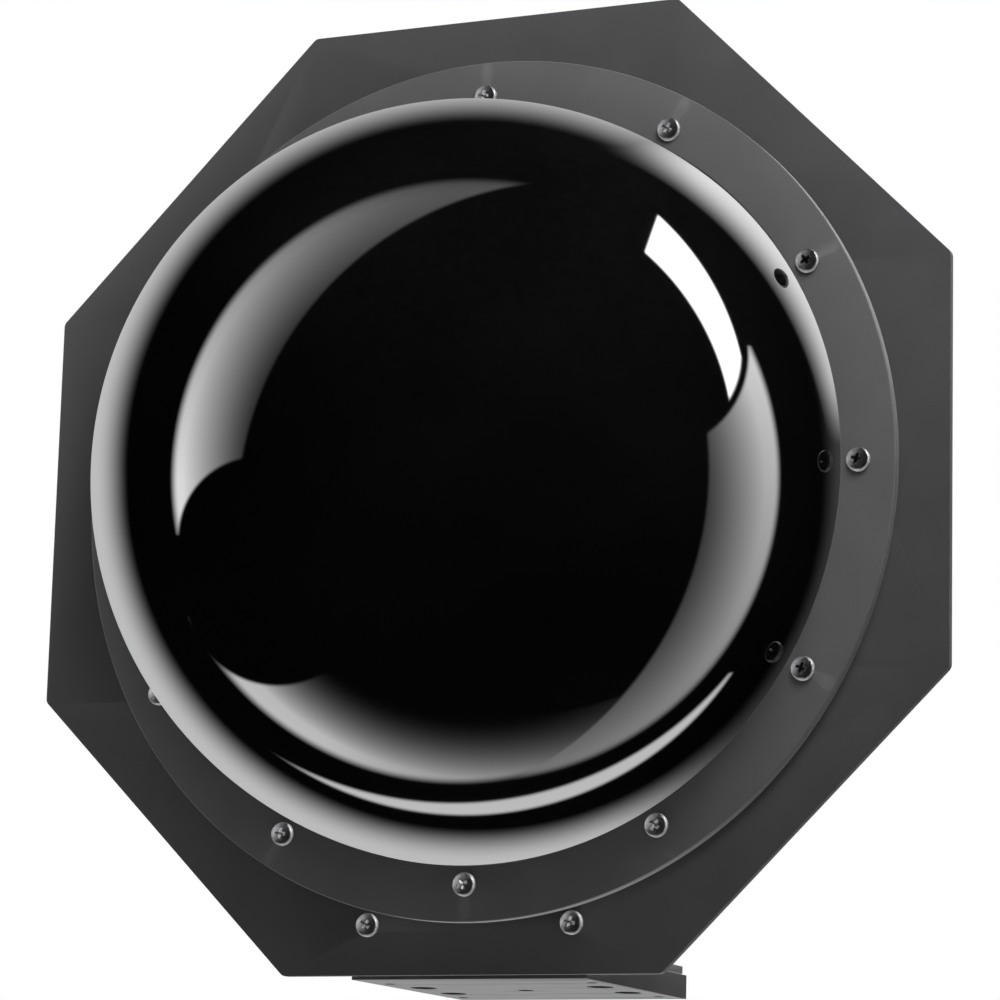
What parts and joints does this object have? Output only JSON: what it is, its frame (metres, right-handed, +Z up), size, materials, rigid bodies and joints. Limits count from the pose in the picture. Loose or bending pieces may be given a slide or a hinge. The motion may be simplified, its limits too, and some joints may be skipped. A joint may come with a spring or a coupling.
{
  "type": "radar dome antenna",
  "caption": "Forward-looking radar dome antenna: octagonal face plate, glossy hemispherical radome, sealed rear housing, scanning array inside, mounting foot.",
  "frame": {"origin": "on the underside of the foot, on the centre line, 25.4 mm (1 in) behind the front of the face plate", "axes": "+Z up, the dome looks along -Y, +X to the right seen from the dome's side"},
  "size_m": [0.34, 0.2323, 0.3414],
  "materials": {
    "plate_coat": "satin black powder coat",
    "ring_coat": "satin dark grey powder coat",
    "dome_gloss": "polished black",
    "gasket_rubber": "matt",
    "screw_black": "black oxide, shiny",
    "housing_coat": "satin black powder coat on cast aluminium",
    "foot_coat": "satin black anodised",
    "connector_metal": "nickel plated",
    "vent_black": "moulded black",
    "brass": "machined",
    "board_green": "solder mask",
    "cast_metal": "cast, chromated",
    "array_metal": "milled",
    "motor_black": "black painted can",
    "steel": "ground and plated"
  },
  "bodies": {
    "mast_unit": {"face_plate": "plate_coat", "clamp_ring": "ring_coat", "radome": "dome_gloss", "radome_gasket": "gasket_rubber", "ring_screw_01": "screw_black", "ring_screw_02": "screw_black", "ring_screw_03": "screw_black", "ring_screw_04": "screw_black", "ring_screw_05": "screw_black", "ring_screw_06": "screw_black", "ring_screw_07": "screw_black", "ring_screw_08": "screw_black", "ring_screw_09": "screw_black", "ring_screw_10": "screw_black", "ring_screw_11": "screw_black", "ring_screw_12": "screw_black", "housing_gasket": "gasket_rubber", "rear_housing": "housing_coat", "heatsink": "housing_coat", "heatsink_screw_1": "screw_black", "heatsink_screw_2": "screw_black", "heatsink_screw_3": "screw_black", "heatsink_screw_4": "screw_black", "power_connector": "connector_metal", "data_connector": "connector_metal", "breather_vent": "vent_black", "ground_stud": "brass", "main_board": "board_green", "power_module": "cast_metal", "foot_block": "foot_coat", "foot_bracket": "plate_coat", "foot_screw_left": "screw_black", "foot_screw_right": "screw_black", "foot_block_screw_1": "steel", "foot_block_screw_2": "steel", "foot_block_screw_3": "steel", "foot_block_screw_4": "steel", "gimbal_base": "cast_metal", "gimbal_screw_1": "steel", "gimbal_screw_2": "steel", "gimbal_screw_3": "steel", "gimbal_screw_4": "steel", "az_bearing_upper": "steel", "az_bearing_lower": "steel", "az_motor": "motor_black"},
    "az_drive": {"az_pinion": "brass"},
    "scan_head": {"yoke": "cast_metal", "az_shaft": "steel", "az_sector_gear": "brass", "az_top_nut": "steel", "az_lock_nut": "steel", "tilt_bearing_left": "steel", "tilt_bearing_right": "steel", "tilt_motor": "motor_black"},
    "tilt_drive": {"tilt_pinion": "brass"},
    "array_head": {"tilt_frame": "cast_metal", "tilt_shaft": "steel", "tilt_sector_gear": "brass", "array_plate": "array_metal", "transceiver_module": "cast_metal"}
  },
  "joints": [
    {"name": "azimuth", "type": "hinge", "parent": "mast_unit", "child": "scan_head", "pos_m": [0, -0.034, 0.1714], "axis": [0, 0, 1], "range_deg": [-50, 50]},
    {"name": "az_pinion_spin", "type": "hinge", "parent": "mast_unit", "child": "az_drive", "pos_m": [0.04101, 0.00701, 0.1124], "axis": [0, 0, 1], "range_deg": [-160, 160]},
    {"name": "tilt", "type": "hinge", "parent": "scan_head", "child": "array_head", "pos_m": [0, -0.034, 0.1714], "axis": [1, 0, 0], "range_deg": [-20, 20]},
    {"name": "tilt_pinion_spin", "type": "hinge", "parent": "scan_head", "child": "tilt_drive", "pos_m": [0.047, -0.00872, 0.13786], "axis": [1, 0, 0], "range_deg": [-62, 62]}
  ],
  "couplings": [
    {"joint": "az_pinion_spin", "follows": "azimuth", "ratio": -3.1429},
    {"joint": "tilt_pinion_spin", "follows": "tilt", "ratio": -3}
  ]
}
